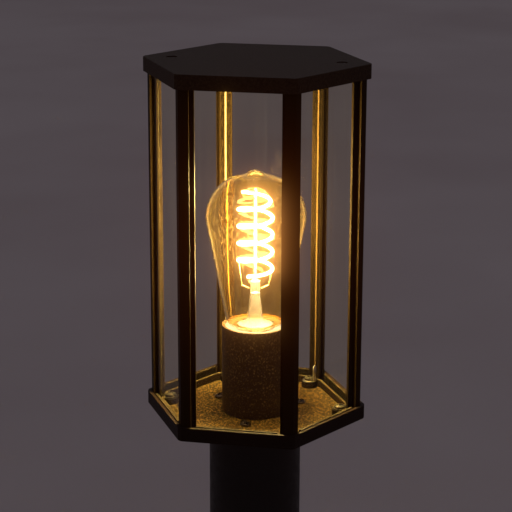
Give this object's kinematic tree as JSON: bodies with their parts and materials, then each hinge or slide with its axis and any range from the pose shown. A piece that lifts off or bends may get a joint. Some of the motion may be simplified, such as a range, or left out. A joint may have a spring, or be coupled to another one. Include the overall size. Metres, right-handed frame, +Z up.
{
  "type": "outdoor post lamp",
  "caption": "Hexagonal glazed lantern with a flat lid and slim corner posts on a round post and bolt-down foot, lit by a large amber screw-in filament bulb.",
  "frame": {"origin": "centre of the foot's underside, on the post's axis", "axes": "+Z up along the post; X runs through two opposite corners of the hexagon; -Y faces the front pane"},
  "size_m": [0.15, 0.15, 0.5],
  "materials": {
    "head_coat": "dark bronze-black fine-grain powder coat",
    "post_coat": "satin black powder coat",
    "corner_coat": "dark bronze satin coat on extruded aluminium",
    "sleeve_coat": "dark brown fine-speckle coat",
    "pane_glass": "clear float glass",
    "bulb_glass": "clear amber glass",
    "stem_glass": "clear glass",
    "filament": "glowing phosphor-coated filament",
    "wire": "drawn nickel wire",
    "cap_metal": "plated screw cap",
    "cap_insulator": "black glass-like insulator",
    "porcelain": "white porcelain",
    "brass": "plain brass",
    "zinc_steel": "zinc-plated steel",
    "black_steel": "blackened steel",
    "gasket_rubber": "black rubber",
    "pane_sealant": "pale silicone",
    "terminal_plastic": "off-white plastic",
    "live_cover": "brown sheath",
    "neutral_cover": "blue sheath",
    "earth_cover": "green sheath"
  },
  "bodies": {
    "root": {"lid": "head_coat", "base_tray": "head_coat", "top_frame": "head_coat", "glazing_ring": "head_coat", "post_tube": "post_coat", "base_flange": "post_coat", "post_head": "post_coat", "corner_post_1": "corner_coat", "corner_post_2": "corner_coat", "corner_post_3": "corner_coat", "corner_post_4": "corner_coat", "corner_post_5": "corner_coat", "corner_post_6": "corner_coat", "lampholder_sleeve": "sleeve_coat", "glass_pane_1": "pane_glass", "glass_pane_2": "pane_glass", "glass_pane_3": "pane_glass", "glass_pane_4": "pane_glass", "glass_pane_5": "pane_glass", "glass_pane_6": "pane_glass", "lampholder_body": "porcelain", "lampholder_shell": "brass", "lampholder_contact": "brass", "lampholder_nipple": "brass", "glazing_ring_screws": "zinc_steel", "glazing_ring_washers": "zinc_steel", "corner_post_screws": "zinc_steel", "top_frame_screws": "zinc_steel", "earth_tag": "zinc_steel", "earth_washer": "zinc_steel", "nipple_nut": "zinc_steel", "terminal_block_screws": "zinc_steel", "lid_screws": "black_steel", "flange_grub_screws": "black_steel", "tray_screws": "black_steel", "lid_gasket": "gasket_rubber", "tray_gasket": "gasket_rubber", "pane_seals": "pane_sealant", "terminal_block": "terminal_plastic", "live_lead": "live_cover", "neutral_lead": "neutral_cover", "earth_lead": "earth_cover"},
    "bulb_rise": {"bulb_tip_contact": "cap_metal"},
    "bulb": {"bulb_glass": "bulb_glass", "bulb_stem": "stem_glass", "bulb_filament": "filament", "bulb_support_wires": "wire", "bulb_cap": "cap_metal", "bulb_cap_insulator": "cap_insulator"}
  },
  "joints": [
    {"name": "bulb_rise", "type": "slide", "parent": "root", "child": "bulb_rise", "axis": [0, 0, 1], "range_m": [0, 0.01452]},
    {"name": "bulb_turn", "type": "hinge", "parent": "bulb_rise", "child": "bulb", "pos_m": [0, 0, 0.3], "axis": [0, 0, 1], "range_deg": [0, 1440]}
  ],
  "couplings": [
    {"joint": "bulb_turn", "follows": "bulb_rise", "rad_per_m": 1730.9}
  ]
}
